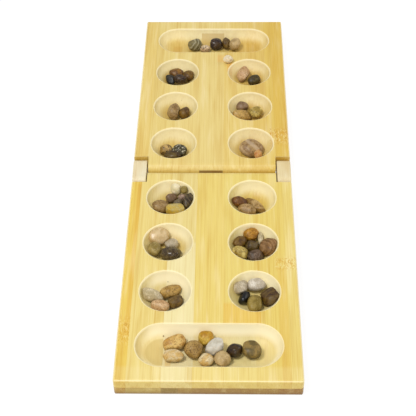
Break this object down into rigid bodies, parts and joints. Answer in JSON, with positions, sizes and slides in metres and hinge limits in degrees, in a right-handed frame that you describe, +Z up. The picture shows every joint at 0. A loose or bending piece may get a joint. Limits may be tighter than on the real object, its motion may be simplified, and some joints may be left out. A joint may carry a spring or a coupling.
{
  "type": "mancala board",
  "caption": "Folding bamboo mancala board: two halves with rows of round pits and a long store each, joined by pinned link blocks, with loose pebbles in the pits.",
  "frame": {"origin": "on the joint line between the halves, in the middle of the board's width, on the underside", "axes": "+X to the right across the board, +Y along the board from the near half to the far half, +Z up"},
  "size_m": [0.13, 0.418, 0.0226],
  "materials": {
    "bamboo": "clear satin lacquer",
    "hinge_wood": "clear satin lacquer",
    "steel": "plain",
    "pebble": "water-worn, lightly polished",
    "white_pebble": "water-worn, lightly polished"
  },
  "bodies": {
    "near_half": {"near_half": "bamboo", "near_pin_left": "steel", "near_pin_right": "steel"},
    "hinge_links": {"link_left": "hinge_wood", "link_right": "hinge_wood"},
    "far_half": {"far_half": "bamboo", "far_pin_left": "steel", "far_pin_right": "steel"},
    "pebbles_near_left_1": {"pebbles_near_left_1": "pebble"},
    "pebbles_near_right_1": {"pebbles_near_right_1": "pebble"},
    "pebbles_near_left_2": {"pebbles_near_left_2": "pebble"},
    "pebbles_near_right_2": {"pebbles_near_right_2": "pebble"},
    "pebbles_near_left_3": {"pebbles_near_left_3": "pebble"},
    "pebbles_near_right_3": {"pebbles_near_right_3": "pebble"},
    "pebbles_near_store": {"pebbles_near_store": "pebble"},
    "pebbles_far_left_1": {"pebbles_far_left_1": "pebble"},
    "pebbles_far_right_1": {"pebbles_far_right_1": "pebble"},
    "pebbles_far_left_2": {"pebbles_far_left_2": "pebble"},
    "pebbles_far_right_2": {"pebbles_far_right_2": "pebble"},
    "pebbles_far_left_3": {"pebbles_far_left_3": "pebble"},
    "pebbles_far_right_3": {"pebbles_far_right_3": "pebble"},
    "pebbles_far_store": {"pebbles_far_store": "pebble"},
    "pebble_on_top": {"pebble_on_top": "white_pebble"}
  },
  "joints": [
    {"name": "near_pivot", "type": "hinge", "parent": "near_half", "child": "hinge_links", "pos_m": [0, -0.0077, 0.0085], "axis": [1, 0, 0], "range_deg": [0, 90]},
    {"name": "far_pivot", "type": "hinge", "parent": "hinge_links", "child": "far_half", "pos_m": [0, 0.0077, 0.0085], "axis": [1, 0, 0], "range_deg": [0, 90]},
    {"name": "lift_near_left_1", "type": "slide", "parent": "near_half", "child": "pebbles_near_left_1", "axis": [0, 0, 1], "range_m": [0, 0.06]},
    {"name": "lift_near_right_1", "type": "slide", "parent": "near_half", "child": "pebbles_near_right_1", "axis": [0, 0, 1], "range_m": [0, 0.06]},
    {"name": "lift_near_left_2", "type": "slide", "parent": "near_half", "child": "pebbles_near_left_2", "axis": [0, 0, 1], "range_m": [0, 0.06]},
    {"name": "lift_near_right_2", "type": "slide", "parent": "near_half", "child": "pebbles_near_right_2", "axis": [0, 0, 1], "range_m": [0, 0.06]},
    {"name": "lift_near_left_3", "type": "slide", "parent": "near_half", "child": "pebbles_near_left_3", "axis": [0, 0, 1], "range_m": [0, 0.06]},
    {"name": "lift_near_right_3", "type": "slide", "parent": "near_half", "child": "pebbles_near_right_3", "axis": [0, 0, 1], "range_m": [0, 0.06]},
    {"name": "lift_near_store", "type": "slide", "parent": "near_half", "child": "pebbles_near_store", "axis": [0, 0, 1], "range_m": [0, 0.06]},
    {"name": "lift_far_left_1", "type": "slide", "parent": "far_half", "child": "pebbles_far_left_1", "axis": [0, 0, 1], "range_m": [0, 0.06]},
    {"name": "lift_far_right_1", "type": "slide", "parent": "far_half", "child": "pebbles_far_right_1", "axis": [0, 0, 1], "range_m": [0, 0.06]},
    {"name": "lift_far_left_2", "type": "slide", "parent": "far_half", "child": "pebbles_far_left_2", "axis": [0, 0, 1], "range_m": [0, 0.06]},
    {"name": "lift_far_right_2", "type": "slide", "parent": "far_half", "child": "pebbles_far_right_2", "axis": [0, 0, 1], "range_m": [0, 0.06]},
    {"name": "lift_far_left_3", "type": "slide", "parent": "far_half", "child": "pebbles_far_left_3", "axis": [0, 0, 1], "range_m": [0, 0.06]},
    {"name": "lift_far_right_3", "type": "slide", "parent": "far_half", "child": "pebbles_far_right_3", "axis": [0, 0, 1], "range_m": [0, 0.06]},
    {"name": "lift_far_store", "type": "slide", "parent": "far_half", "child": "pebbles_far_store", "axis": [0, 0, 1], "range_m": [0, 0.06]},
    {"name": "lift_pebble_on_top", "type": "slide", "parent": "far_half", "child": "pebble_on_top", "axis": [0, 0, 1], "range_m": [0, 0.06]}
  ]
}
